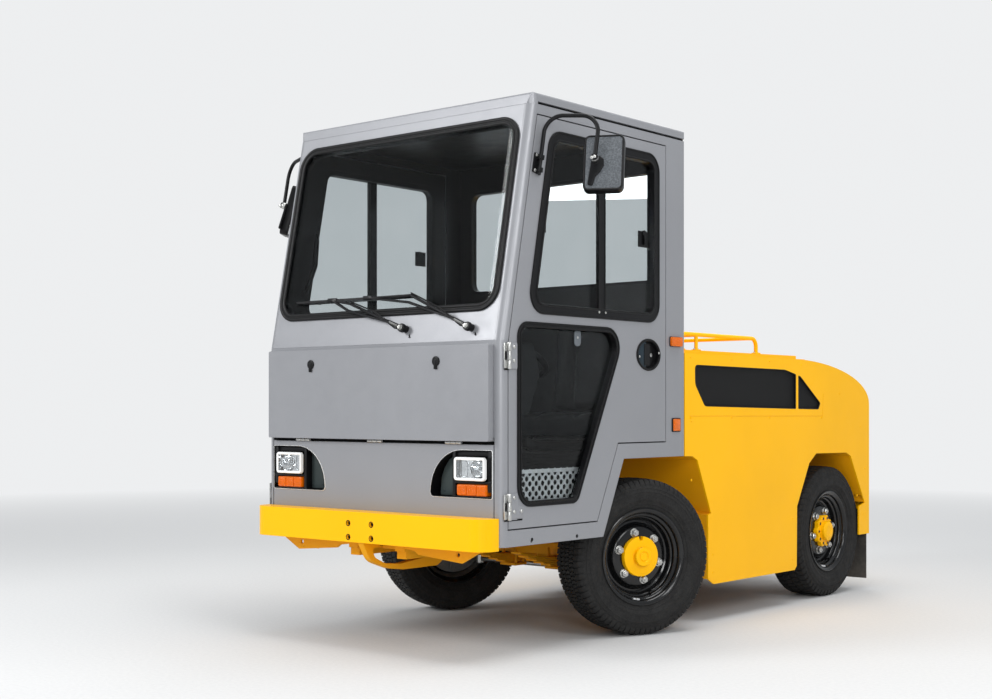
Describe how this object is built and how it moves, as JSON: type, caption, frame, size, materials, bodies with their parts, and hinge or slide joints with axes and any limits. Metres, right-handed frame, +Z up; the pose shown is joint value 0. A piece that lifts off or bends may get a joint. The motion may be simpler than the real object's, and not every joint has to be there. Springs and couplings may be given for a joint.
{
  "type": "airport baggage tow tractor",
  "caption": "Compact towing tractor for baggage trains: closed two-door cab with a leaning windscreen, steered front axle, rounded rear body and rear pin coupling.",
  "frame": {"origin": "middle of the bounding box in plan, on the ground under the tyres", "axes": "+Z up, +X to the tractor's left, -Y to its front"},
  "size_m": [1.939, 3.284, 2.162],
  "materials": {
    "cab_paint": "satin silver grey paint",
    "body_paint": "gloss yellow paint",
    "chassis_paint": "satin yellow paint",
    "black_trim": "black plastic",
    "black_metal": "black powder coat",
    "rubber_seal": "black rubber",
    "pane": "tinted safety glass",
    "lens_clear": "clear lens",
    "lens_amber": "amber lens",
    "lens_red": "red lens",
    "reflector": "bright reflector",
    "rim_black": "black gloss rim with yellow hub",
    "tyre_rubber": "black tyre",
    "steel": "bare steel",
    "iron": "dark cast iron",
    "seat_cover": "black vinyl",
    "grey_floor": "dark grey floor covering"
  },
  "bodies": {
    "chassis": {"frame_rails": "chassis_paint", "frame_members": "chassis_paint", "front_crossplate": "chassis_paint", "guard_loop": "chassis_paint", "arch_liners": "chassis_paint", "steer_axle": "chassis_paint", "rear_axle": "iron", "engine_block": "iron", "front_bumper": "body_paint", "cab_side_left": "cab_paint", "cab_side_right": "cab_paint", "cab_front": "cab_paint", "windscreen_frame": "cab_paint", "front_panel": "cab_paint", "lamp_bezels": "black_trim", "headlamps": "reflector", "headlamp_lenses": "lens_clear", "amber_lamps": "lens_amber", "cab_rear_wall": "cab_paint", "roof": "cab_paint", "cab_floor": "grey_floor", "cab_glass": "pane", "cab_seals": "rubber_seal", "dashboard": "black_trim", "steering_wheel": "black_trim", "seat": "seat_cover", "wipers": "black_metal", "body_side_left": "body_paint", "body_side_right": "body_paint", "body_rear": "body_paint", "side_grilles": "black_metal", "mudflaps": "rubber_seal", "tail_lamps": "lens_red", "tow_coupling": "iron"},
    "coupling_pin": {"coupling_pin": "steel"},
    "engine_lid": {"engine_lid": "body_paint", "luggage_rail": "body_paint"},
    "front_flap": {"front_flap": "cab_paint"},
    "tie_rod": {"tie_rod": "steel"},
    "door_left": {"door_left": "cab_paint", "door_left_trim": "black_trim", "door_left_glass": "pane", "mirror_left": "black_trim"},
    "knuckle_left": {"knuckle_left": "iron"},
    "wheel_front_left": {"tyre_front_left": "tyre_rubber", "rim_front_left": "rim_black"},
    "wheel_rear_left": {"tyre_rear_left": "tyre_rubber", "rim_rear_left": "rim_black"},
    "door_right": {"door_right": "cab_paint", "door_right_trim": "black_trim", "door_right_glass": "pane", "mirror_right": "black_trim"},
    "knuckle_right": {"knuckle_right": "iron"},
    "wheel_front_right": {"tyre_front_right": "tyre_rubber", "rim_front_right": "rim_black"},
    "wheel_rear_right": {"tyre_rear_right": "tyre_rubber", "rim_rear_right": "rim_black"}
  },
  "joints": [
    {"name": "door_left_swing", "type": "hinge", "parent": "chassis", "child": "door_left", "pos_m": [0.659, -1.512, 0.87], "axis": [0, 0, -1], "range_deg": [0, 80]},
    {"name": "steer_left", "type": "hinge", "parent": "chassis", "child": "knuckle_left", "pos_m": [0.47, -0.528, 0.33], "axis": [0, 0, 1], "range_deg": [-13, 57]},
    {"name": "door_right_swing", "type": "hinge", "parent": "chassis", "child": "door_right", "pos_m": [-0.659, -1.512, 0.87], "axis": [0, 0, 1], "range_deg": [0, 80]},
    {"name": "steer_right", "type": "hinge", "parent": "chassis", "child": "knuckle_right", "pos_m": [-0.47, -0.528, 0.33], "axis": [0, 0, 1], "range_deg": [-13, 57]},
    {"name": "spin_front_left", "type": "hinge", "parent": "knuckle_left", "child": "wheel_front_left", "pos_m": [0.55808, -0.56359, 0.33], "axis": [0.9272, -0.3746, 0], "continuous": true},
    {"name": "spin_rear_left", "type": "hinge", "parent": "chassis", "child": "wheel_rear_left", "pos_m": [0.535, 1.092, 0.33], "axis": [1, 0, 0], "continuous": true},
    {"name": "spin_front_right", "type": "hinge", "parent": "knuckle_right", "child": "wheel_front_right", "pos_m": [-0.55808, -0.49241, 0.33], "axis": [0.9272, -0.3746, 0], "continuous": true},
    {"name": "spin_rear_right", "type": "hinge", "parent": "chassis", "child": "wheel_rear_right", "pos_m": [-0.535, 1.092, 0.33], "axis": [1, 0, 0], "continuous": true},
    {"name": "flap_fold", "type": "hinge", "parent": "chassis", "child": "front_flap", "pos_m": [0, -1.556, 0.8255], "axis": [1, 0, 0], "range_deg": [0, 95]},
    {"name": "lid_lift", "type": "hinge", "parent": "chassis", "child": "engine_lid", "pos_m": [0, 0.797, 1.2053], "axis": [-1, 0, 0], "range_deg": [0, 70]},
    {"name": "tie_rod_swing", "type": "hinge", "parent": "knuckle_left", "child": "tie_rod", "pos_m": [0.5142, -0.41859, 0.239], "axis": [0, 0, 1], "range_deg": [-57, 13]},
    {"name": "pin_lift", "type": "slide", "parent": "chassis", "child": "coupling_pin", "axis": [0, 0, 1], "range_m": [0, 0.2]}
  ],
  "couplings": [
    {"joint": "steer_right", "follows": "steer_left", "ratio": 1},
    {"joint": "tie_rod_swing", "follows": "steer_left", "ratio": -1}
  ]
}
